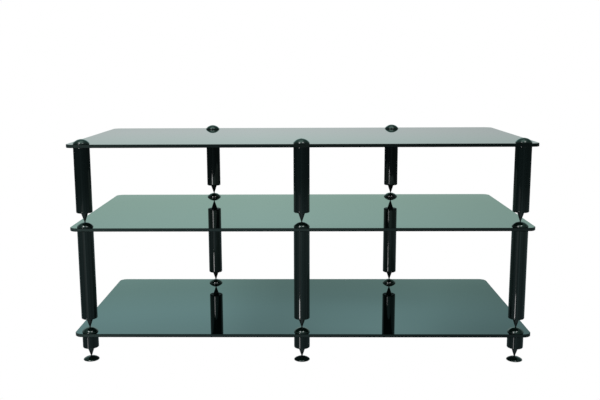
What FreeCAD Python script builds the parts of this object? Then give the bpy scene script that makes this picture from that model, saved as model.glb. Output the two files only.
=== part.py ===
# Open audio-visual rack: three glass shelves on five posts, where each tier stands on the one below
# through turned spikes. Millimetres. The origin is on the floor under the middle of the shelves,
# +X runs to the right, +Y to the back and +Z up.
import FreeCAD, Part
import math
import os

from FreeCAD import Vector

# Glass shelves
shelf_width = 1100.0
shelf_depth = 500.0
glass_thickness = 8.0
corner_radius = 20.0
edge_arris = 0.8
stud_hole_diameter = 14.0

# Posts: three flush with the front edge, and two behind the middles of the bays between them.
# Insets run from the ends and the back edge of the shelves to the posts' axes.
post_diameter = 38.0
end_post_inset = 35.5
back_post_inset = 41.0

# Lengths that set the heights of the shelves
upper_column_length = 154.5
lower_column_length = 216.5
barrel_length = 30.0

# Column tubes, and the rounded lower edge of every post
tube_wall = 2.0
end_round = 2.0

# Domed caps on the shelves, and the flatter discs on the floor
dome_height = 11.5
dome_rim = 2.0
disc_height = 8.5
disc_rim = 1.5
disc_base_chamfer = 0.6
dimple_diameter = 5.0
dimple_floor_diameter = 2.4
dimple_depth = 1.2

# Turned spikes
spike_length = 24.2
spike_base_diameter = 17.0
spike_land = 0.8
spike_tip_diameter = 1.4

# How far a foot's spike screws out of its barrel, and the thread that stays engaged then
foot_travel = 6.0
least_engagement = 10.0

# Threads, drawn as plain cylinders of their outside diameter
thread_diameter = 8.0
thread_clearance = 0.05
thread_chamfer = 1.0
stud_reach = 11.0

# Flanged nylon bushes, one pressed into the glass from each side
bush_flange_diameter = 33.0
bush_flange_thickness = 1.0
bush_bore_diameter = 8.6
bush_hole_clearance = 0.2
bush_meeting_gap = 0.6
bush_pocket_clearance = 0.3

# Plugs that close the ends of the columns and hold the threads
top_plug_length = 18.0
end_plug_head = 4.0
end_plug_length = 22.0
plug_clearance = 0.05

# Gaps between metal and glass, and between a spike's tip and its dimple
rim_gap = 0.2
tip_gap = 0.3

# Radii that several pieces share
post_radius = post_diameter / 2
tube_bore_radius = post_radius - tube_wall
plug_radius = tube_bore_radius - plug_clearance
thread_radius = thread_diameter / 2
thread_bore_radius = thread_radius + thread_clearance
pocket_radius = bush_flange_diameter / 2 + bush_pocket_clearance
pocket_depth = bush_flange_thickness - rim_gap

# Every spike has the same threaded shank
shank_length = least_engagement + foot_travel

# Where the posts stand, seen from above
front_post_x = shelf_width / 2 - end_post_inset
front_post_y = post_radius - shelf_depth / 2
back_post_x = front_post_x / 2
back_post_y = shelf_depth / 2 - back_post_inset
posts = {
    "front_left": (-front_post_x, front_post_y),
    "front_centre": (0, front_post_y),
    "front_right": (front_post_x, front_post_y),
    "back_left": (-back_post_x, back_post_y),
    "back_right": (back_post_x, back_post_y),
}

# Heights, stacked up from the floor. A column or barrel starts at the seat of the spike under it.
dome_to_seat = dome_height - dimple_depth + tip_gap + spike_length
disc_to_seat = disc_height - dimple_depth + tip_gap + spike_length
barrel_seat = disc_to_seat
bottom_glass = barrel_seat + barrel_length + rim_gap
lower_seat = bottom_glass + glass_thickness + dome_to_seat
middle_glass = lower_seat + lower_column_length + rim_gap
upper_seat = middle_glass + glass_thickness + dome_to_seat
top_glass = upper_seat + upper_column_length + rim_gap


def line(*corners):
    """Straight edges through corners given as (radius, height)."""
    points = [Vector(radius, 0, height) for radius, height in corners]
    return [Part.LineSegment(a, b).toShape() for a, b in zip(points, points[1:])]


def arc(start, middle, end):
    """One arc through three points given as (radius, height)."""
    points = [Vector(radius, 0, height) for radius, height in (start, middle, end)]
    return [Part.Arc(*points).toShape()]


def turned(edges):
    """Solid of revolution about the Z axis from the edges of one half section."""
    half_section = Part.Face(Part.Wire(edges))
    return half_section.revolve(Vector(0, 0, 0), Vector(0, 0, 1))


def at_posts(solid, height):
    """The solid copied onto every post's axis at one height, by post name."""
    return {name: solid.translated(Vector(x, y, height)) for name, (x, y) in posts.items()}


def crown(rim_height, top_height):
    """Arc of a dome from the edge of its dimple down to the top of its rim, and its inner end."""
    rise = top_height - rim_height
    sphere_radius = (post_radius ** 2 + rise ** 2) / (2 * rise)

    def on_sphere(radius):
        drop = sphere_radius - math.sqrt(sphere_radius ** 2 - radius ** 2)
        return (radius, top_height - drop)

    lip = on_sphere(dimple_diameter / 2)
    shoulder = on_sphere((post_radius + dimple_diameter / 2) / 2)
    return arc(lip, shoulder, (post_radius, rim_height)), lip


def rounded_foot():
    """Lower edge of a post, from its flat end to its side."""
    middle = end_round * (1 - math.sqrt(0.5))
    flat = (post_radius - end_round, 0)
    side = (post_radius, end_round)
    return arc(flat, (post_radius - middle, middle), side), flat, side


def shelf(underside):
    """Glass plate with round corners, ground arrises and a hole over every post."""
    x = shelf_width / 2
    y = shelf_depth / 2
    plate = Part.makeBox(shelf_width, shelf_depth, glass_thickness, Vector(-x, -y, underside))
    upright = [edge for edge in plate.Edges if edge.Vertexes[0].Z != edge.Vertexes[1].Z]
    plate = plate.makeFillet(corner_radius, upright)
    rims = [edge for edge in plate.Edges if edge.BoundBox.ZLength < glass_thickness / 2]
    plate = plate.makeChamfer(edge_arris, rims)
    for hole_x, hole_y in posts.values():
        start = Vector(hole_x, hole_y, underside - glass_thickness)
        plate = plate.cut(Part.makeCylinder(stud_hole_diameter / 2, 3 * glass_thickness, start))
    return plate


def dome():
    """Domed cap with its stud. Height 0 is the top face of the glass."""
    crown_arc, lip = crown(dome_rim, dome_height)
    floor_height = dome_height - dimple_depth
    stud_end = -glass_thickness - stud_reach
    chamfered_radius = thread_radius - thread_chamfer
    dimple = line((0, floor_height), (dimple_floor_diameter / 2, floor_height), lip)
    body = line(
        (post_radius, dome_rim),
        (post_radius, rim_gap),
        (pocket_radius, rim_gap),
        (pocket_radius, bush_flange_thickness),
        (thread_radius, bush_flange_thickness),
        (thread_radius, stud_end + thread_chamfer),
        (chamfered_radius, stud_end),
        (0, stud_end),
        (0, floor_height),
    )
    return turned(dimple + crown_arc + body)


def floor_disc():
    """Domed disc that a foot spike stands in. Height 0 is the floor."""
    crown_arc, lip = crown(disc_rim, disc_height)
    floor_height = disc_height - dimple_depth
    dimple = line((0, floor_height), (dimple_floor_diameter / 2, floor_height), lip)
    base = line(
        (post_radius, disc_rim),
        (post_radius, disc_base_chamfer),
        (post_radius - disc_base_chamfer, 0),
        (0, 0),
        (0, floor_height),
    )
    return turned(dimple + crown_arc + base)


def spike():
    """Turned spike with its threaded shank. Height 0 is the seat under the post."""
    base_radius = spike_base_diameter / 2
    outline = line(
        (0, shank_length),
        (thread_radius - thread_chamfer, shank_length),
        (thread_radius, shank_length - thread_chamfer),
        (thread_radius, 0),
        (base_radius, 0),
        (base_radius, -spike_land),
        (spike_tip_diameter / 2, -spike_length),
        (0, -spike_length),
        (0, shank_length),
    )
    return turned(outline)


def tube(length):
    """Column tube above the head of its end plug. Height 0 is the spike's seat."""
    outline = line(
        (tube_bore_radius, end_plug_head),
        (post_radius, end_plug_head),
        (post_radius, length),
        (tube_bore_radius, length),
        (tube_bore_radius, end_plug_head),
    )
    return turned(outline)


def end_plug():
    """Plug whose rounded head closes the foot of a column. Height 0 is the spike's seat."""
    round_arc, flat, side = rounded_foot()
    start = line((thread_bore_radius, 0), flat)
    rest = line(
        side,
        (post_radius, end_plug_head),
        (plug_radius, end_plug_head),
        (plug_radius, end_plug_length),
        (thread_bore_radius, end_plug_length),
        (thread_bore_radius, 0),
    )
    return turned(start + round_arc + rest)


def top_plug(length):
    """Plug under the top end of a column, low enough to leave a pocket for the bush's flange."""
    top = length - pocket_depth
    outline = line(
        (thread_bore_radius, top - top_plug_length),
        (plug_radius, top - top_plug_length),
        (plug_radius, top),
        (thread_bore_radius, top),
        (thread_bore_radius, top - top_plug_length),
    )
    return turned(outline)


def barrel():
    """Short solid post under the bottom shelf, threaded right through."""
    round_arc, flat, side = rounded_foot()
    start = line((thread_bore_radius, 0), flat)
    rest = line(
        side,
        (post_radius, barrel_length),
        (pocket_radius, barrel_length),
        (pocket_radius, barrel_length - pocket_depth),
        (thread_bore_radius, barrel_length - pocket_depth),
        (thread_bore_radius, 0),
    )
    return turned(start + round_arc + rest)


def bush(flange_face, inwards):
    """Flanged bush on a glass face at one height, with its sleeve reaching inwards (+1 up, -1 down)."""
    bore_radius = bush_bore_diameter / 2
    sleeve_radius = stud_hole_diameter / 2 - bush_hole_clearance
    flange_radius = bush_flange_diameter / 2
    outer = flange_face - inwards * bush_flange_thickness
    inner = flange_face + inwards * (glass_thickness - bush_meeting_gap) / 2
    outline = line(
        (bore_radius, outer),
        (flange_radius, outer),
        (flange_radius, flange_face),
        (sleeve_radius, flange_face),
        (sleeve_radius, inner),
        (bore_radius, inner),
        (bore_radius, outer),
    )
    return turned(outline)


def write(node, shape):
    shape.exportStep("parts/" + node + ".step")


def write_each(prefix, solids):
    """One file per post, such as upper_column_front_left."""
    for name, solid in solids.items():
        write(prefix + "_" + name, solid)


def write_group(node, *sets):
    """One file of separate like solids."""
    write(node, Part.makeCompound([solid for solids in sets for solid in solids.values()]))


def write_shelf(level, underside):
    """One glass shelf with the bushes in its holes."""
    write(level + "_shelf_glass", shelf(underside))
    from_below = at_posts(bush(0, 1), underside)
    from_above = at_posts(bush(glass_thickness, -1), underside)
    write_group(level + "_shelf_bushes", from_below, from_above)


def write_columns(level, seat, length):
    """The five columns of a tier, with the plugs in their ends and the spikes under them."""
    write_each(level + "_column", at_posts(tube(length), seat))
    write_each(level + "_spike", at_posts(spike(), seat))
    write_group(level + "_column_top_plugs", at_posts(top_plug(length), seat))
    write_group(level + "_column_end_plugs", at_posts(end_plug(), seat))


os.makedirs("parts", exist_ok=True)

# Bottom tier on its five levelling feet
write_each("floor_disc", at_posts(floor_disc(), 0))
write_each("foot_spike", at_posts(spike(), barrel_seat))
write_each("foot_barrel", at_posts(barrel(), barrel_seat))
write_shelf("bottom", bottom_glass)
write_each("bottom_dome", at_posts(dome(), bottom_glass + glass_thickness))

# Middle tier
write_columns("lower", lower_seat, lower_column_length)
write_shelf("middle", middle_glass)
write_each("middle_dome", at_posts(dome(), middle_glass + glass_thickness))

# Top tier
write_columns("upper", upper_seat, upper_column_length)
write_shelf("top", top_glass)
write_each("top_cap", at_posts(dome(), top_glass + glass_thickness))
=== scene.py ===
import math

import bmesh
import bpy
from mathutils import Matrix, Vector


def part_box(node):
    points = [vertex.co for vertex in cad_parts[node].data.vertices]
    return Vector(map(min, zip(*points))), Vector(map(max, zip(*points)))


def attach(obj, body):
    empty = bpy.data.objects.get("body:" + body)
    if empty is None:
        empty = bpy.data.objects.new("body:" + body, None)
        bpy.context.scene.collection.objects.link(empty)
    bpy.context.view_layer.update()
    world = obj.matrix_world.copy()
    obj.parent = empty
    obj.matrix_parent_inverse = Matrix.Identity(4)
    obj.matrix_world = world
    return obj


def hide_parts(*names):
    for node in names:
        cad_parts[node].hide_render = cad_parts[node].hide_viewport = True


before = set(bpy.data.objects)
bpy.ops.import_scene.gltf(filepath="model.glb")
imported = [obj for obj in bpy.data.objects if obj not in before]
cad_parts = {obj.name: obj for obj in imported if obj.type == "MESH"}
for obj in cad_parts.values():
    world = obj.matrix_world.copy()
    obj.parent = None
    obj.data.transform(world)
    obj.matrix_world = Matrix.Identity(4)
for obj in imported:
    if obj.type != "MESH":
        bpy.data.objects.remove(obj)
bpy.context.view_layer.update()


# Floor discs
# A thick black disc stands loose on the floor under every post and saves the floor from the spike.
# It is turned from bar, domed on top with a small dimple for the tip, and lacquered gloss black.
POST_NAMES = ("front_left", "front_centre", "front_right", "back_left", "back_right")
DIMPLE_RADIUS = 0.0025
DIMPLE_FLOOR_RADIUS = 0.0012
DIMPLE_DEPTH = 0.0012
CROWN_STEPS = 10
DISC_RIM = 0.0015
DISC_BASE_CHAMFER = 0.0006
EDGE_BREAK = 0.00025
EDGE_BREAK_STEPS = 3
RIM_ROUND = 0.0010
RIM_ROUND_STEPS = 6
SPIN_STEPS = 96
HOLD = 0.0006
LONG_RUN = 5 * HOLD
WELD = 1e-6
SHARP_ANGLE = math.radians(25)
SHADING_BREAK = math.radians(40)
DOME_BLACK = (0.0025, 0.0055, 0.0045, 1)
DOME_ROUGHNESS = (0.03, 0.06)
DOME_PEEL = 0.2
LACQUER_CLOUD = (45, 3)
ORANGE_PEEL = (900, 2)
PEEL_DEPTH = 0.00001
NOISE_MIDDLE = (0.3, 0.7)


def held(start, end):
    """The start of a straight run and, on a long one, a point near each end that keeps its gloss straight."""
    length = math.dist(start, end)
    shares = (0, HOLD / length, 1 - HOLD / length) if length > LONG_RUN else (0,)
    return [[a + (b - a) * share for a, b in zip(start, end)] for share in shares]


def spun(corners, ring=False):
    """Closed solid of revolution about the Z axis from (radius, height) corners. A ring clears the axis."""
    runs = list(zip(corners, corners[1:] + corners[:1]))
    if not ring:
        runs = runs[:-1]
    outline = [point for run in runs for point in held(*run)]
    if not ring:
        outline.append(corners[-1])
    shape = bmesh.new()
    points = [shape.verts.new((radius, 0, height)) for radius, height in outline]
    ends = points[1:] + points[:1] if ring else points[1:]
    edges = [shape.edges.new(pair) for pair in zip(points, ends)]
    bmesh.ops.spin(shape, geom=points + edges, cent=(0, 0, 0), axis=(0, 0, 1), dvec=(0, 0, 0),
                   angle=2 * math.pi, steps=SPIN_STEPS, use_merge=True)
    bmesh.ops.remove_doubles(shape, verts=shape.verts, dist=WELD)
    bmesh.ops.recalc_face_normals(shape, faces=shape.faces)
    return shape


def rounded(shape, edges, width, steps):
    """The same shape with some of its edges rounded over."""
    bmesh.ops.bevel(shape, geom=edges, offset=width, offset_type="OFFSET", segments=steps, profile=0.5,
                    affect="EDGES", material=-1, clamp_overlap=True)
    return shape


def break_edges(shape, width):
    """Rounds every turned corner a little, as a lathe hand does with a file."""
    sharp = [edge for edge in shape.edges if edge.calc_face_angle(0) > SHARP_ANGLE]
    return rounded(shape, sharp, width, EDGE_BREAK_STEPS)


def ease_rim(shape, radius, height):
    """Rounds the corner between a dome and its rim, where the hand meets it."""
    rim = [edge for edge in shape.edges if all(
        math.isclose(math.hypot(end.co.x, end.co.y), radius, abs_tol=WELD)
        and math.isclose(end.co.z, height, abs_tol=WELD) for end in edge.verts)]
    return rounded(shape, rim, RIM_ROUND, RIM_ROUND_STEPS)


def crown(rim_radius, rim_height, top_height):
    """Corners of a dome, from the middle of its dimple out and down to the top of its rim."""
    rise = top_height - rim_height
    sphere_radius = (rim_radius ** 2 + rise ** 2) / (2 * rise)
    dimple_floor = top_height - DIMPLE_DEPTH
    corners = [(0, dimple_floor), (DIMPLE_FLOOR_RADIUS, dimple_floor)]
    for step in range(CROWN_STEPS + 1):
        radius = DIMPLE_RADIUS + (rim_radius - DIMPLE_RADIUS) * step / CROWN_STEPS
        drop = sphere_radius - math.sqrt(sphere_radius ** 2 - radius ** 2)
        corners.append((radius, top_height - drop))
    return corners


def under(node):
    """The point of the floor under a node's own axis."""
    low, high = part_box(node)
    return Vector(((low[0] + high[0]) / 2, (low[1] + high[1]) / 2, 0))


def place(shape, name, foot, body, slot, finish, *nodes):
    """One copy of a shape, stood on a point, riding on a body in place of its CAD nodes."""
    mesh = bpy.data.meshes.new(name)
    shape.to_mesh(mesh)
    turning = mesh.attributes.new("turning", "FLOAT_VECTOR", "POINT")
    for vertex, item in zip(mesh.vertices, turning.data):
        item.vector = (math.hypot(vertex.co.x, vertex.co.y), vertex.co.z, 0)
    mesh.transform(Matrix.Translation(foot))
    mesh.shade_smooth()
    mesh.set_sharp_from_angle(angle=SHADING_BREAK)
    mesh.materials.append(finish)
    piece = bpy.data.objects.new(name, mesh)
    bpy.context.scene.collection.objects.link(piece)
    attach(piece, body)
    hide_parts(*nodes)


def new_finish(name):
    """An empty node material, with the nodes and links to add to and its shader."""
    finish = bpy.data.materials.new(name)
    finish.use_nodes = True
    nodes = finish.node_tree.nodes
    return finish, nodes, finish.node_tree.links, nodes["Principled BSDF"]


def noise(nodes, links, grain, vector):
    """Soft unevenness of one grain, which is a scale and a detail, read at a coordinate."""
    texture = nodes.new("ShaderNodeTexNoise")
    texture.inputs["Scale"].default_value, texture.inputs["Detail"].default_value = grain
    links.new(vector, texture.inputs["Vector"])
    return texture.outputs["Fac"]


def spread(nodes, links, value, low, high):
    """A texture's middle range stretched to run from one number to another."""
    stretch = nodes.new("ShaderNodeMapRange")
    for limit, number in zip(("From Min", "From Max", "To Min", "To Max"), (*NOISE_MIDDLE, low, high)):
        stretch.inputs[limit].default_value = number
    links.new(value, stretch.inputs["Value"])
    return stretch.outputs["Result"]


def relief(nodes, links, height, depth, strength):
    """Surface relief of a real depth in metres, for a shader's normal."""
    bump = nodes.new("ShaderNodeBump")
    bump.inputs["Distance"].default_value = depth
    bump.inputs["Strength"].default_value = strength
    links.new(height, bump.inputs["Height"])
    return bump.outputs["Normal"]


def lacquer(name, colour, roughness, peel_strength):
    """Gloss black lacquer on metal: near-black, faintly uneven in gloss, with fine orange peel."""
    finish, nodes, links, shader = new_finish(name)
    where = nodes.new("ShaderNodeTexCoord").outputs["Object"]
    shader.inputs["Base Color"].default_value = colour
    cloud = noise(nodes, links, LACQUER_CLOUD, where)
    links.new(spread(nodes, links, cloud, *roughness), shader.inputs["Roughness"])
    peel = noise(nodes, links, ORANGE_PEEL, where)
    links.new(relief(nodes, links, peel, PEEL_DEPTH, peel_strength), shader.inputs["Normal"])
    return finish


dome_lacquer = lacquer("dome_lacquer", DOME_BLACK, DOME_ROUGHNESS, DOME_PEEL)
disc_low, disc_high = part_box("floor_disc_front_left")
disc_height = disc_high[2] - disc_low[2]
post_radius = (disc_high[0] - disc_low[0]) / 2
disc = spun(crown(post_radius, DISC_RIM, disc_height) + [
    (post_radius, DISC_BASE_CHAMFER),
    (post_radius - DISC_BASE_CHAMFER, 0),
    (0, 0),
])
disc = break_edges(ease_rim(disc, post_radius, DISC_RIM), EDGE_BREAK)
for post in POST_NAMES:
    node = "floor_disc_" + post
    place(disc, "turned_" + node, under(node), post + "_foot", "dome_metal", dome_lacquer, node)


# Foot spikes
# Each foot is a turned steel cone, blacked, on an M8 thread cut right down to a run-out groove. It
# screws in and out of its barrel to level the rack, so up to 6 mm of thread can show.
SPIKE_LENGTH = 0.0242
SPIKE_BASE_RADIUS = 0.0085
SPIKE_LAND = 0.0008
SPIKE_TIP_RADIUS = 0.0007
SHANK_LENGTH = 0.016
GROOVE_RADIUS = 0.0031
GROOVE_LENGTH = 0.0012
THREAD_PITCH = 0.00125
THREAD_CREST_RADIUS = 0.00398
THREAD_ROOT_RADIUS = 0.00335
CREST_SHARE = 0.2
ROOT_SHARE = 0.2
SPARE_TURNS = 2
TURNS_BELOW = 1.5
CUT_TOLERANCE = 1e-7
BLACKED_STEEL = (0.02, 0.024, 0.024, 1)
BLACKED_ROUGHNESS = (0.16, 0.28)
STEEL_METALLIC = 0.6
STEEL_CLOUD = (120, 3)
LATHE_RINGS = (5000, 1)
RING_DEPTH = 0.00001
RING_STRENGTH = 0.3


def cut_thread(low, high):
    """Thread between two heights: a zigzag swept up a screw line, cut flat and closed at both ends."""
    shape = bmesh.new()
    turns = math.ceil((high - low) / THREAD_PITCH) + SPARE_TURNS
    slope = (1 - CREST_SHARE - ROOT_SHARE) / 2
    points = []
    for turn in range(turns):
        start = low + (turn - TURNS_BELOW) * THREAD_PITCH
        points.append((THREAD_ROOT_RADIUS, start))
        points.append((THREAD_ROOT_RADIUS, start + ROOT_SHARE * THREAD_PITCH))
        points.append((THREAD_CREST_RADIUS, start + (ROOT_SHARE + slope) * THREAD_PITCH))
        points.append((THREAD_CREST_RADIUS, start + (ROOT_SHARE + slope + CREST_SHARE) * THREAD_PITCH))
    points = [shape.verts.new((radius, 0, height)) for radius, height in points]
    edges = [shape.edges.new(pair) for pair in zip(points, points[1:])]
    bmesh.ops.spin(shape, geom=points + edges, cent=(0, 0, 0), axis=(0, 0, 1),
                   dvec=(0, 0, THREAD_PITCH / SPIN_STEPS), angle=2 * math.pi, steps=SPIN_STEPS)
    bmesh.ops.remove_doubles(shape, verts=shape.verts, dist=WELD)
    for height, side in ((low, -1), (high, 1)):
        everything = shape.verts[:] + shape.edges[:] + shape.faces[:]
        bmesh.ops.bisect_plane(shape, geom=everything, dist=CUT_TOLERANCE, plane_co=(0, 0, height),
                               plane_no=(0, 0, side), clear_outer=True)
    rims = [edge for edge in shape.edges if edge.is_boundary]
    bmesh.ops.holes_fill(shape, edges=rims, sides=0)
    bmesh.ops.recalc_face_normals(shape, faces=shape.faces)
    return shape


def turned_spike(shank_radius, shank_length):
    """Spike with a plain shank. Height 0 is the seat under the post."""
    return break_edges(spun([
        (0, shank_length),
        (shank_radius, shank_length),
        (shank_radius, 0),
        (SPIKE_BASE_RADIUS, 0),
        (SPIKE_BASE_RADIUS, -SPIKE_LAND),
        (SPIKE_TIP_RADIUS, -SPIKE_LENGTH),
        (0, -SPIKE_LENGTH),
    ]), EDGE_BREAK)


def turned_steel(name, colour, roughness):
    """Steel straight off the lathe, blacked or plated: fine rings round the axis, a little uneven."""
    finish, nodes, links, shader = new_finish(name)
    shader.inputs["Base Color"].default_value = colour
    shader.inputs["Metallic"].default_value = STEEL_METALLIC
    turning = nodes.new("ShaderNodeAttribute")
    turning.attribute_name = "turning"
    rings = noise(nodes, links, LATHE_RINGS, turning.outputs["Vector"])
    links.new(relief(nodes, links, rings, RING_DEPTH, RING_STRENGTH), shader.inputs["Normal"])
    where = nodes.new("ShaderNodeTexCoord").outputs["Object"]
    cloud = noise(nodes, links, STEEL_CLOUD, where)
    links.new(spread(nodes, links, cloud, *roughness), shader.inputs["Roughness"])
    return finish


blacked_steel = turned_steel("blacked_steel", BLACKED_STEEL, BLACKED_ROUGHNESS)
barrel_low, barrel_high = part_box("foot_barrel_front_left")
barrel_seat = Vector((0, 0, barrel_low[2]))
foot_spike = turned_spike(GROOVE_RADIUS, GROOVE_LENGTH)
thread_mesh = bpy.data.meshes.new("thread")
cut_thread(GROOVE_LENGTH / 2, SHANK_LENGTH).to_mesh(thread_mesh)
foot_spike.from_mesh(thread_mesh)
bpy.data.meshes.remove(thread_mesh)
for post in POST_NAMES:
    node = "foot_spike_" + post
    seat = under(node) + barrel_seat
    place(foot_spike, "turned_" + node, seat, post + "_foot_spike", "spike_metal", blacked_steel, node)


# Foot barrels
# A short solid post joins each foot to the bottom shelf. Its lower edge is rounded, it is bored right
# through for the thread, and it is lacquered like the columns.
END_ROUND = 0.002
END_ROUND_STEPS = 5
THREAD_BORE_RADIUS = 0.00405
POCKET_RADIUS = 0.0168
POCKET_DEPTH = 0.0008
POST_BLACK = (0.0025, 0.0045, 0.0045, 1)
POST_ROUGHNESS = (0.03, 0.05)
POST_PEEL = 0.08


def bored_post(corners):
    """A turned post, bored for the thread, from its rounded lower edge up through its other corners."""
    lower_edge = []
    for step in range(END_ROUND_STEPS + 1):
        turn = math.pi / 2 * step / END_ROUND_STEPS
        lower_edge.append((post_radius - END_ROUND * (1 - math.sin(turn)), END_ROUND * (1 - math.cos(turn))))
    return spun([(THREAD_BORE_RADIUS, 0)] + lower_edge + corners, ring=True)


post_lacquer = lacquer("post_lacquer", POST_BLACK, POST_ROUGHNESS, POST_PEEL)
barrel_length = barrel_high[2] - barrel_low[2]
barrel = break_edges(bored_post([
    (post_radius, barrel_length),
    (POCKET_RADIUS, barrel_length),
    (POCKET_RADIUS, barrel_length - POCKET_DEPTH),
    (THREAD_BORE_RADIUS, barrel_length - POCKET_DEPTH),
]), EDGE_BREAK)
for post in POST_NAMES:
    node = "foot_barrel_" + post
    seat = under(node) + barrel_seat
    place(barrel, "turned_" + node, seat, "bottom_tier", "column_metal", post_lacquer, node)


# Glass shelves
# Three 8 mm plates of black float glass with round corners, drilled for the studs and then toughened.
# The faces are mirror flat, the edges are ground and polished to a flat with a narrow arris each side.
TIERS = (("bottom", "bottom_tier"), ("middle", "middle_tier"), ("top", "top_tier"))
CORNER_RADIUS = 0.020
CORNER_STEPS = 16
ARRIS = 0.0008
STUD_HOLE_RADIUS = 0.007
HOLE_STEPS = 48
LEVEL_FACE = 0.9
UPRIGHT_FACE = 0.1
STRAIGHT = 0.9995
GLASS_BLACK = (0.002, 0.004, 0.004, 1)
GLASS_IOR = 1.52
WIPING = (14, 5)
FACE_ROUGHNESS = (0.004, 0.014)
WAVINESS = (6, 1)
WAVE_DEPTH = 0.00004
WAVE_STRENGTH = 0.5
GRINDING = (600, 3)
GRIND_DEPTH = 0.00001
GRIND_STRENGTH = 0.2
EDGE_ROUGHNESS = (0.04, 0.07)
ARRIS_ROUGHNESS = (0.45, 0.60)
ARRIS_SPECULAR = 0.1
# Painted light: the edge and arris colours below are the glass's own dark green-black, painted lighter toward
# the left end as if lit from that side.
LEFT_END = -0.55
EDGE_PAINTED_LIGHT = (
    (LEFT_END, (0.030, 0.040, 0.038)),
    (-0.40, (0.017, 0.024, 0.023)),
    (-0.20, (0.008, 0.012, 0.012)),
    (0.00, (0.006, 0.009, 0.008)),
    (0.45, (0.003, 0.005, 0.005)),
)
ARRIS_PAINTED_LIGHT = (
    (LEFT_END, (0.004, 0.006, 0.006)),
    (0.00, (0.002, 0.003, 0.003)),
    (0.45, (0.001, 0.002, 0.002)),
)


def arc(centre, radius, start, turn, steps):
    """Points along part of a circle."""
    return [(centre.x + radius * math.cos(start + turn * step / steps),
             centre.y + radius * math.sin(start + turn * step / steps)) for step in range(steps + 1)]


def plate_outline(low, high, inset):
    """Outline of a shelf with round corners, drawn in by the width of its arris where that is wanted."""
    left, front, right, back = low[0], low[1], high[0], high[1]
    points = []
    for corner, (x, y) in enumerate(((right, back), (left, back), (left, front), (right, front))):
        centre = Vector((x - math.copysign(CORNER_RADIUS, x), y - math.copysign(CORNER_RADIUS, y), 0))
        points += arc(centre, CORNER_RADIUS - inset, corner * math.pi / 2, math.pi / 2, CORNER_STEPS)
    return points


def closed_loop(plate, points, height):
    """Loop of edges through points at one height."""
    corners = [plate.verts.new((x, y, height)) for x, y in points]
    return [plate.edges.new(pair) for pair in zip(corners, corners[1:] + corners[:1])]


def cut_plate(low, high, holes):
    """A drilled shelf: the loops of its rim and of its holes, skinned, then closed above and below."""
    plate = bmesh.new()
    rims = [closed_loop(plate, plate_outline(low, high, inset), height) for inset, height in
            ((ARRIS, low[2]), (0, low[2] + ARRIS), (0, high[2] - ARRIS), (ARRIS, high[2]))]
    for lower, upper in zip(rims, rims[1:]):
        bmesh.ops.bridge_loops(plate, edges=lower + upper)
    below, above = rims[0], rims[-1]
    for hole in holes:
        drilled = arc(hole, STUD_HOLE_RADIUS, 0, 2 * math.pi, HOLE_STEPS)[:-1]
        lower, upper = [closed_loop(plate, drilled, height) for height in (low[2], high[2])]
        bmesh.ops.bridge_loops(plate, edges=lower + upper)
        below, above = below + lower, above + upper
    for side in (below, above):
        bmesh.ops.triangle_fill(plate, edges=side, use_beauty=True, normal=(0, 0, 1))
    bmesh.ops.recalc_face_normals(plate, faces=plate.faces)
    return plate


def colour_ramp(nodes, links, share, stops):
    """Colours over a share that runs from 0 to 1, from (share, colour) stops."""
    ramp = nodes.new("ShaderNodeValToRGB")
    while len(ramp.color_ramp.elements) < len(stops):
        ramp.color_ramp.elements.new(1.0)
    for element, (where, colour) in zip(ramp.color_ramp.elements, stops):
        element.position = where
        element.color = (*colour, 1)
    links.new(share, ramp.inputs["Fac"])
    return ramp.outputs["Color"]


def float_glass():
    """Black glass face: a deep gloss with faint wiping marks, and the very slight waviness of float glass."""
    finish, nodes, links, shader = new_finish("float_glass")
    where = nodes.new("ShaderNodeTexCoord").outputs["Object"]
    shader.inputs["Base Color"].default_value = GLASS_BLACK
    shader.inputs["IOR"].default_value = GLASS_IOR
    wiping = noise(nodes, links, WIPING, where)
    links.new(spread(nodes, links, wiping, *FACE_ROUGHNESS), shader.inputs["Roughness"])
    waviness = noise(nodes, links, WAVINESS, where)
    links.new(relief(nodes, links, waviness, WAVE_DEPTH, WAVE_STRENGTH), shader.inputs["Normal"])
    return finish


def ground_edge(name, painted_light_stops, roughness):
    """Edge of the same glass, where the grinding still shows, in its own dark colour with painted light that
    fades from the left end to the right.
    """
    finish, nodes, links, shader = new_finish(name)
    where = nodes.new("ShaderNodeTexCoord").outputs["Object"]
    along = nodes.new("ShaderNodeSeparateXYZ")
    links.new(where, along.inputs["Vector"])
    from_left = nodes.new("ShaderNodeMath")
    from_left.inputs[1].default_value = -LEFT_END
    links.new(along.outputs["X"], from_left.inputs[0])
    stops = [(x - LEFT_END, painted_light) for x, painted_light in painted_light_stops]
    painted_light = colour_ramp(nodes, links, from_left.outputs["Value"], stops)
    links.new(painted_light, shader.inputs["Base Color"])
    shader.inputs["IOR"].default_value = GLASS_IOR
    grinding = noise(nodes, links, GRINDING, where)
    links.new(spread(nodes, links, grinding, *roughness), shader.inputs["Roughness"])
    links.new(relief(nodes, links, grinding, GRIND_DEPTH, GRIND_STRENGTH), shader.inputs["Normal"])
    return finish


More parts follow.
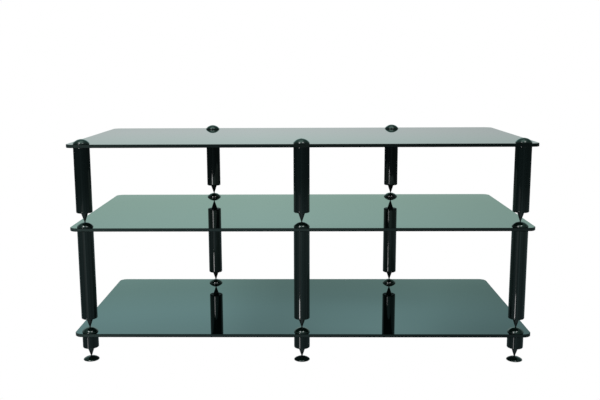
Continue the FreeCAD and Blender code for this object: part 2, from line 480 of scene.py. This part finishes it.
glass_face = float_glass()
# Painted light: both edge materials are painted lighter toward the left end of each shelf.
glass_edge = ground_edge("polished_edge_painted_light", EDGE_PAINTED_LIGHT, EDGE_ROUGHNESS)
glass_arris = ground_edge("ground_arris_painted_light", ARRIS_PAINTED_LIGHT, ARRIS_ROUGHNESS)
glass_arris.node_tree.nodes["Principled BSDF"].inputs["Specular IOR Level"].default_value = ARRIS_SPECULAR
holes = [under("foot_barrel_" + post) for post in POST_NAMES]
for tier, body in TIERS:
    node = tier + "_shelf_glass"
    mesh = bpy.data.meshes.new("float_glass_" + node)
    cut_plate(*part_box(node), holes).to_mesh(mesh)
    for finish in (glass_face, glass_edge, glass_arris):
        mesh.materials.append(finish)
    for face in mesh.polygons:
        levelness = abs(face.normal.z)
        face.material_index = 0 if levelness > LEVEL_FACE else 1 if levelness < UPRIGHT_FACE else 2
        face.use_smooth = max(abs(part) for part in face.normal) < STRAIGHT
    mesh.set_sharp_from_angle(angle=SHARP_ANGLE)
    shelf = bpy.data.objects.new("float_glass_" + node, mesh)
    bpy.context.scene.collection.objects.link(shelf)
    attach(shelf, body)
    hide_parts(node)


# Flanged bushes
# Split nylon bushes, one pressed into every hole from each side of the glass. They keep the studs off
# the glass, and their flanges seat the metal. Natural black, with the faint grain of the mould.
NYLON_BLACK = (0.015, 0.015, 0.015, 1)
NYLON_ROUGHNESS = (0.42, 0.58)
MOULD_GRAIN = (2500, 2)
GRAIN_DEPTH = 0.00003
GRAIN_STRENGTH = 0.4


def moulded_nylon():
    """Black nylon from a fine-textured mould."""
    finish, nodes, links, shader = new_finish("moulded_nylon")
    where = nodes.new("ShaderNodeTexCoord").outputs["Object"]
    shader.inputs["Base Color"].default_value = NYLON_BLACK
    grain = noise(nodes, links, MOULD_GRAIN, where)
    links.new(spread(nodes, links, grain, *NYLON_ROUGHNESS), shader.inputs["Roughness"])
    links.new(relief(nodes, links, grain, GRAIN_DEPTH, GRAIN_STRENGTH), shader.inputs["Normal"])
    return finish


def refinish(node, finish):
    """The same finish all over a piece that stays as the CAD has it."""
    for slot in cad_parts[node].material_slots:
        slot.material = finish


nylon = moulded_nylon()
for tier, _ in TIERS:
    refinish(tier + "_shelf_bushes", nylon)


# Domed caps
# A cap over every post clamps the glass with the long stud under it. The lower two sets carry the
# spikes of the tier above in their dimples, and the top set only closes the posts.
CAP_KINDS = ("bottom_dome", "middle_dome", "top_cap")
DOME_RIM = 0.002
RIM_GAP = 0.0002
FLANGE_THICKNESS = 0.001
STUD_RADIUS = 0.004
STUD_CHAMFER = 0.001
STUD_REACH = 0.011

for (tier, body), kind in zip(TIERS, CAP_KINDS):
    glass_low, glass_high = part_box(tier + "_shelf_glass")
    dome_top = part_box(kind + "_front_left")[1][2] - glass_high[2]
    stud_end = glass_low[2] - glass_high[2] - STUD_REACH
    dome = spun(crown(post_radius, DOME_RIM, dome_top) + [
        (post_radius, RIM_GAP),
        (POCKET_RADIUS, RIM_GAP),
        (POCKET_RADIUS, FLANGE_THICKNESS),
        (STUD_RADIUS, FLANGE_THICKNESS),
        (STUD_RADIUS, stud_end + STUD_CHAMFER),
        (STUD_RADIUS - STUD_CHAMFER, stud_end),
        (0, stud_end),
    ])
    dome = break_edges(ease_rim(dome, post_radius, DOME_RIM), EDGE_BREAK)
    for post in POST_NAMES:
        node = kind + "_" + post
        foot = under(node) + Vector((0, 0, glass_high[2]))
        place(dome, "turned_" + node, foot, body, "dome_metal", dome_lacquer, node)


# Columns
# Drawn steel tubes, lacquered gloss black. A steel plug holds the stud at the top of each, out of
# sight, and the rounded head of the plug at the bottom closes the tube and takes the spike.
COLUMN_TIERS = (("lower", "middle_tier"), ("upper", "top_tier"))
TUBE_WALL = 0.002
END_PLUG_HEAD = 0.004
END_PLUG_LENGTH = 0.022
PLUG_CLEARANCE = 0.00005
PAINT_LINE = 0.00004
ZINC_PLATE = (0.5, 0.5, 0.49, 1)
ZINC_ROUGHNESS = (0.3, 0.42)

bore_radius = post_radius - TUBE_WALL
plug_radius = bore_radius - PLUG_CLEARANCE
plug = break_edges(bored_post([
    (post_radius, END_PLUG_HEAD),
    (plug_radius, END_PLUG_HEAD),
    (plug_radius, END_PLUG_LENGTH),
    (THREAD_BORE_RADIUS, END_PLUG_LENGTH),
]), PAINT_LINE)
zinc = turned_steel("zinc_plated_steel", ZINC_PLATE, ZINC_ROUGHNESS)
for kind, body in COLUMN_TIERS:
    low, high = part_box(kind + "_column_front_left")
    seat = low[2] - END_PLUG_HEAD
    tube = break_edges(spun([
        (bore_radius, low[2] - seat),
        (post_radius, low[2] - seat),
        (post_radius, high[2] - seat),
        (bore_radius, high[2] - seat),
    ], ring=True), PAINT_LINE)
    plugs = bmesh.new()
    for post in POST_NAMES:
        node = kind + "_column_" + post
        foot = under(node) + Vector((0, 0, seat))
        place(tube, "turned_" + node, foot, body, "column_metal", post_lacquer, node)
        one = bpy.data.meshes.new("plug")
        plug.to_mesh(one)
        one.transform(Matrix.Translation(foot))
        plugs.from_mesh(one)
        bpy.data.meshes.remove(one)
    node = kind + "_column_end_plugs"
    place(plugs, "turned_" + node, Vector(), body, "column_metal", post_lacquer, node)
    refinish(kind + "_column_top_plugs", zinc)


# Column spikes
# Turned like the foot spikes, but screwed home against the end plug and left there. Their tips stand
# in the dimples of the caps below, and are all that touches between one tier and the next.
column_spike = turned_spike(STUD_RADIUS, SHANK_LENGTH)
for kind, body in COLUMN_TIERS:
    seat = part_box(kind + "_column_end_plugs")[0][2]
    for post in POST_NAMES:
        node = kind + "_spike_" + post
        foot = under(node) + Vector((0, 0, seat))
        place(column_spike, "turned_" + node, foot, body, "spike_metal", blacked_steel, node)


# Studio
# A plain white floor that runs up into a plain white surround, as on a product sheet. What the glass and
# lacquer mirror is graded by height and from left to right: pale green-white above the horizon, darker
# to the right, and a dim floor below it.
FLOOR_SIZE = 30.0
WHITE = (1, 1, 1, 1)
BLACK = (0, 0, 0, 1)
SKY = (
    (-1.00, (0.21, 0.31, 0.31)),
    (-0.40, (0.16, 0.24, 0.25)),
    (-0.345, (0.11, 0.165, 0.17)),
    (-0.30, (0.14, 0.21, 0.215)),
    (-0.19, (0.17, 0.25, 0.25)),
    (-0.145, (0.05, 0.07, 0.07)),
    (-0.02, (0.02, 0.03, 0.03)),
    (0.02, (0.30, 0.36, 0.35)),
    (0.08, (0.66, 0.74, 0.73)),
    (0.092, (0.62, 0.765, 0.735)),
    (0.165, (0.56, 0.85, 0.74)),
    (0.195, (0.63, 0.97, 0.87)),
    (0.27, (0.515, 0.89, 0.83)),
    (0.30, (0.61, 1.08, 1.07)),
    (0.34, (0.60, 1.06, 1.06)),
    (0.42, (0.33, 0.58, 0.53)),
    (0.70, (0.21, 0.40, 0.35)),
    (0.90, (0.45, 0.82, 0.72)),
    (0.97, (1.40, 2.20, 1.95)),
    (1.00, (1.60, 2.50, 2.20)),
)
ACROSS_BELOW = (
    (-1.00, 0.4), (-0.85, 1.0), (-0.27, 0.9), (-0.08, 1.8), (0.03, 1.8),
    (0.14, 1.0), (0.50, 1.1), (0.70, 0.7), (0.87, 0.9),
)
ACROSS_LOW = (
    (-0.75, 0.50), (-0.45, 0.90), (-0.22, 1.03), (-0.06, 1.07), (0.05, 1.02),
    (0.16, 0.95), (0.25, 0.88), (0.45, 0.80), (0.75, 0.45),
)
ACROSS_HIGH = (
    (-0.75, 0.50), (-0.45, 0.90), (-0.22, 0.98), (-0.12, 0.95), (-0.06, 0.76), (-0.03, 0.69),
    (0.00, 0.68), (0.16, 0.75), (0.25, 0.62), (0.45, 0.60), (0.75, 0.45),
)
ACROSS_FRONT = (
    (-0.75, 0.50), (-0.45, 0.90), (-0.22, 0.98), (-0.12, 0.95), (-0.06, 0.78),
    (-0.03, 0.77), (0.00, 0.80), (0.035, 0.87), (0.10, 0.94), (0.145, 0.85),
    (0.178, 0.73), (0.215, 0.64), (0.25, 0.58), (0.45, 0.57), (0.75, 0.45),
)
HORIZON = (-0.02, 0.04)
LOW_TO_HIGH = (0.20, 0.265)
HIGH_TO_FRONT = (0.285, 0.32)

floor = bmesh.new()
bmesh.ops.create_grid(floor, x_segments=1, y_segments=1, size=FLOOR_SIZE / 2)
floor_mesh = bpy.data.meshes.new("floor")
floor.to_mesh(floor_mesh)
floor_piece = bpy.data.objects.new("floor", floor_mesh)
bpy.context.scene.collection.objects.link(floor_piece)
floor_piece.visible_glossy = False
floor_piece.visible_shadow = False
paper, nodes, links, shader = new_finish("white_paper")
shader.inputs["Base Color"].default_value = BLACK
shader.inputs["Specular IOR Level"].default_value = 0
shader.inputs["Emission Color"].default_value = WHITE
shader.inputs["Emission Strength"].default_value = 1.0
floor_mesh.materials.append(paper)

world = bpy.data.worlds.new("surround")
bpy.context.scene.world = world
world.use_nodes = True
nodes = world.node_tree.nodes
links = world.node_tree.links
direction = nodes.new("ShaderNodeSeparateXYZ")
links.new(nodes.new("ShaderNodeTexCoord").outputs["Generated"], direction.inputs["Vector"])


def graded(coordinate, stops):
    """Colours along one coordinate of the direction, which runs from -1 to 1."""
    share = nodes.new("ShaderNodeMapRange")
    share.inputs["From Min"].default_value = -1
    share.inputs["From Max"].default_value = 1
    links.new(coordinate, share.inputs["Value"])
    stops = [((where + 1) / 2, colour) for where, colour in stops]
    return colour_ramp(nodes, links, share.outputs["Result"], stops)


def across(stops):
    """How bright the surround is from left to right."""
    return graded(direction.outputs["X"], [(where, (level,) * 3) for where, level in stops])


def passing(first, second, start, end):
    """One colour that gives way to another as the direction climbs."""
    climb = nodes.new("ShaderNodeMapRange")
    climb.inputs["From Min"].default_value = start
    climb.inputs["From Max"].default_value = end
    links.new(direction.outputs["Z"], climb.inputs["Value"])
    mix = nodes.new("ShaderNodeMix")
    mix.data_type = "RGBA"
    links.new(climb.outputs["Result"], mix.inputs["Factor"])
    links.new(first, mix.inputs["A"])
    links.new(second, mix.inputs["B"])
    return mix.outputs["Result"]


sideways = passing(across(ACROSS_BELOW), across(ACROSS_LOW), *HORIZON)
sideways = passing(sideways, across(ACROSS_HIGH), *LOW_TO_HIGH)
sideways = passing(sideways, across(ACROSS_FRONT), *HIGH_TO_FRONT)
mirrored = nodes.new("ShaderNodeMix")
mirrored.data_type = "RGBA"
mirrored.blend_type = "MULTIPLY"
mirrored.inputs["Factor"].default_value = 1
links.new(graded(direction.outputs["Z"], SKY), mirrored.inputs["A"])
links.new(sideways, mirrored.inputs["B"])
backdrop = nodes.new("ShaderNodeMix")
backdrop.data_type = "RGBA"
links.new(nodes.new("ShaderNodeLightPath").outputs["Is Camera Ray"], backdrop.inputs["Factor"])
links.new(mirrored.outputs["Result"], backdrop.inputs["A"])
backdrop.inputs["B"].default_value = WHITE
links.new(backdrop.outputs["Result"], nodes["Background"].inputs["Color"])


# Lights
# A tall soft box to the left draws the streaks down the posts, with its doubles in the polished floor
# and shelves, and two high ones put two points of light on every dome. All are flagged off the glass,
# where they would burn out, and the high ones pass through it to the domes under a shelf.
POST_AIM = (0, -0.2, 0.25)
GLASS_PIECES = tuple("float_glass_" + tier + "_shelf_glass" for tier, _ in TIERS)
LEFT_POST_PIECES = ("turned_lower_column_front_left", "turned_foot_barrel_front_left")
SOFT_BOXES = (
    ("tall_box", (-1.05, -1.90, 0.66), (0.38, 0.44), 18.0),
    ("wide_box_in_floor", (-0.90, -1.90, -0.215), (0.90, 0.63), 0.2),
)
GRID_BOXES = (
    ("tall_box_in_floor", (-2.10, -3.57, -1.57), (1.0, 0.73), 8.7, 21.6, ()),
    ("top_of_tall_box_in_floor", (-2.10, -3.57, -1.135), (1.0, 0.20), 18.5, 14.4, LEFT_POST_PIECES),
)
HIGH_BOXES = (
    ("high_left", (-1.82, -1.50, 5.85), (1.7, 0.95), 11.5),
    ("high_right", (1.32, -1.40, 5.70), (1.6, 0.95), 7.0),
)
SHELF_DOUBLES = (
    ("upper", "tall_box_in_middle_shelf", (-1.05, -1.90, -0.07), (0.38, 0.32), 8.6),
    ("lower", "tall_box_in_bottom_shelf", (-1.05, -1.90, -0.55), (0.38, 0.36), 8.5),
)


def hang(name, spot, size, radiance):
    """A soft box aimed at the posts, out of the camera's sight."""
    lamp = bpy.data.lights.new(name, "AREA")
    lamp.shape = "RECTANGLE"
    lamp.size, lamp.size_y = size
    lamp.energy = radiance * math.pi * size[0] * size[1]
    box = bpy.data.objects.new(name, lamp)
    box.location = spot
    box.rotation_euler = (Vector(POST_AIM) - Vector(spot)).to_track_quat("-Z", "Y").to_euler()
    box.visible_camera = False
    bpy.context.scene.collection.objects.link(box)
    return box


def all_but(name, pieces):
    """A collection for light linking that leaves some pieces out."""
    rest = bpy.data.collections.new(name)
    for piece in pieces:
        rest.objects.link(bpy.data.objects[piece])
    for item in rest.collection_objects:
        item.light_linking.link_state = "EXCLUDE"
    return rest


all_but_glass = all_but("all_but_glass", GLASS_PIECES)
for name, spot, size, radiance in SOFT_BOXES:
    hang(name, spot, size, radiance).light_linking.receiver_collection = all_but_glass
for name, spot, size, radiance, degrees, flagged in GRID_BOXES:
    box = hang(name, spot, size, radiance)
    # A grid narrows the beam and would gather all the light in it, so the power is cut to match.
    box.data.spread = math.radians(degrees)
    half = box.data.spread / 2
    box.data.energy *= 1 - half / math.tan(half)
    box.light_linking.receiver_collection = all_but("lit_by_" + name, GLASS_PIECES + flagged)
for name, spot, size, radiance in HIGH_BOXES:
    box = hang(name, spot, size, radiance)
    box.light_linking.receiver_collection = all_but_glass
    box.light_linking.blocker_collection = all_but_glass
for kind, name, spot, size, radiance in SHELF_DOUBLES:
    back_posts = bpy.data.collections.new(kind + "_back_posts")
    for side in ("back_left", "back_right"):
        back_posts.objects.link(bpy.data.objects["turned_" + kind + "_column_" + side])
    box = hang(name, spot, size, radiance)
    box.light_linking.receiver_collection = back_posts
    box.light_linking.blocker_collection = all_but_glass


# Camera
# Stands a little above the top shelf, in front of the middle post, and looks down by ten degrees. Its
# place, lens, tilt and small shift are those that put every edge where the photograph has it.
CAMERA_PLACE = (0.0067, -2.0495, 0.6992)
CAMERA_LENS = 47.02
SENSOR_WIDTH = 36
LOOK_DOWN = math.radians(9.581)
LOOK_ASIDE = math.radians(0.936)
ROLL = math.radians(-0.262)
SHIFT = (0.0136, 0.0008)

camera = bpy.data.objects.new("camera", bpy.data.cameras.new("camera"))
camera.data.lens = CAMERA_LENS
camera.data.sensor_width = SENSOR_WIDTH
camera.data.shift_x, camera.data.shift_y = SHIFT
camera.location = CAMERA_PLACE
aim = Matrix.Rotation(LOOK_ASIDE, 3, "Z") @ Matrix.Rotation(math.pi / 2 - LOOK_DOWN, 3, "X")
camera.rotation_euler = (aim @ Matrix.Rotation(ROLL, 3, "Z")).to_euler()
bpy.context.scene.collection.objects.link(camera)
bpy.context.scene.camera = camera
bpy.context.scene.view_settings.view_transform = "Standard"
